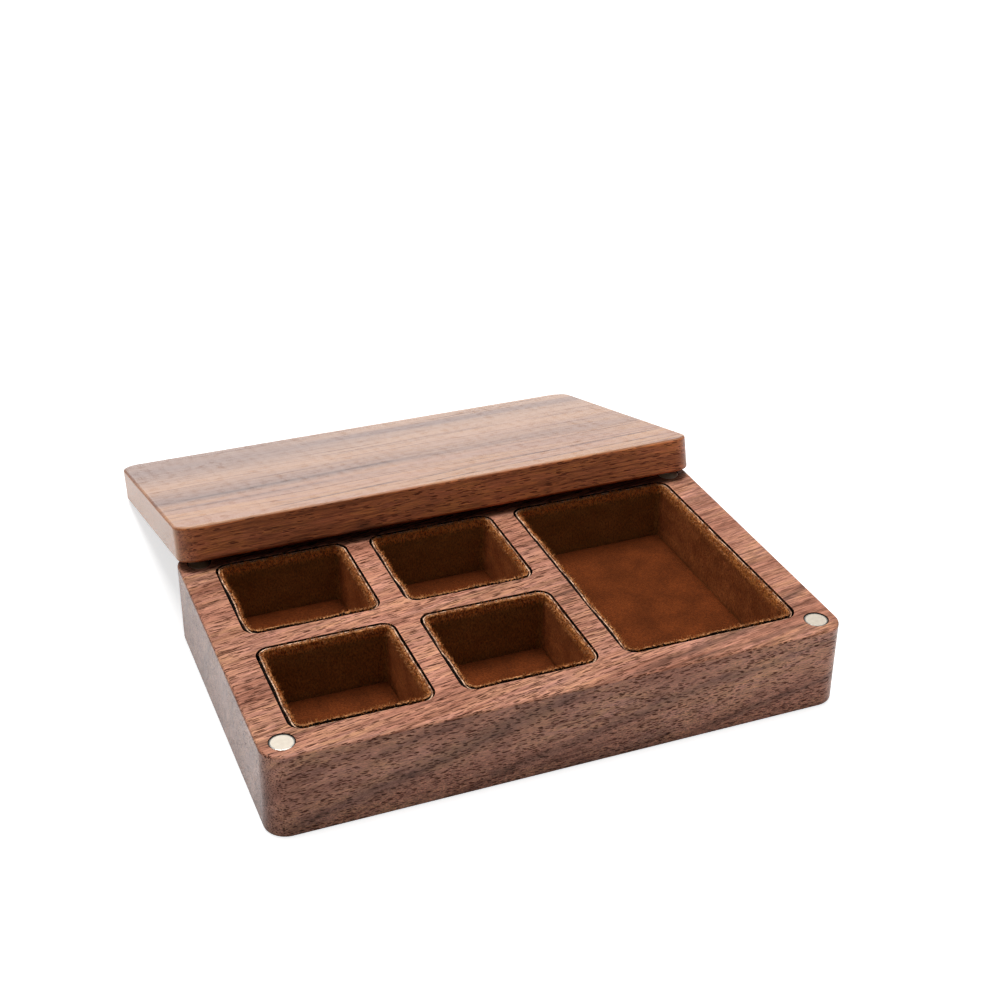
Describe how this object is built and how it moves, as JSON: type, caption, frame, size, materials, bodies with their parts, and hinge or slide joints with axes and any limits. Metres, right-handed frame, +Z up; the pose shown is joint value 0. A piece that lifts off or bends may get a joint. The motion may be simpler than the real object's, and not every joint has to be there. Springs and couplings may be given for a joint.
{
  "type": "ring box",
  "caption": "Flat walnut ring box: a solid base with velvet-lined pockets for rings and earrings, and a loose lid that disc magnets in its corners hold.",
  "frame": {"origin": "centre of the base's flat underside, on the surface the box stands on", "axes": "+X to the right along the length, +Y to the back where the lid leans, +Z up"},
  "size_m": [0.1, 0.1173, 0.0235],
  "materials": {
    "walnut_base": "satin oiled walnut, grain along the length",
    "walnut_lid": "satin oiled walnut with soft bands, grain along the length",
    "velvet": "short chocolate brown velvet pile",
    "card": "pale pressed card, cut edge bare",
    "nickel": "satin nickel plating"
  },
  "bodies": {
    "base": {"base_block": "walnut_base", "base_magnet_front_left": "nickel", "base_magnet_front_right": "nickel", "base_magnet_back_left": "nickel", "base_magnet_back_right": "nickel", "wall_card_back_left": "card", "wall_velvet_back_left": "velvet", "floor_card_back_left": "card", "floor_velvet_back_left": "velvet", "wall_card_back_middle": "card", "wall_velvet_back_middle": "velvet", "floor_card_back_middle": "card", "floor_velvet_back_middle": "velvet", "wall_card_front_left": "card", "wall_velvet_front_left": "velvet", "floor_card_front_left": "card", "floor_velvet_front_left": "velvet", "wall_card_front_middle": "card", "wall_velvet_front_middle": "velvet", "floor_card_front_middle": "card", "floor_velvet_front_middle": "velvet", "wall_card_right": "card", "wall_velvet_right": "velvet", "floor_card_right": "card", "floor_velvet_right": "velvet"},
    "lid": {"lid_board": "walnut_lid", "lid_magnet_front_left": "nickel", "lid_magnet_front_right": "nickel", "lid_magnet_back_left": "nickel", "lid_magnet_back_right": "nickel"}
  },
  "joints": [
    {"name": "lid_lift_off", "type": "slide", "parent": "base", "child": "lid", "axis": [0, 0, 1], "range_m": [0, 0.06]}
  ]
}
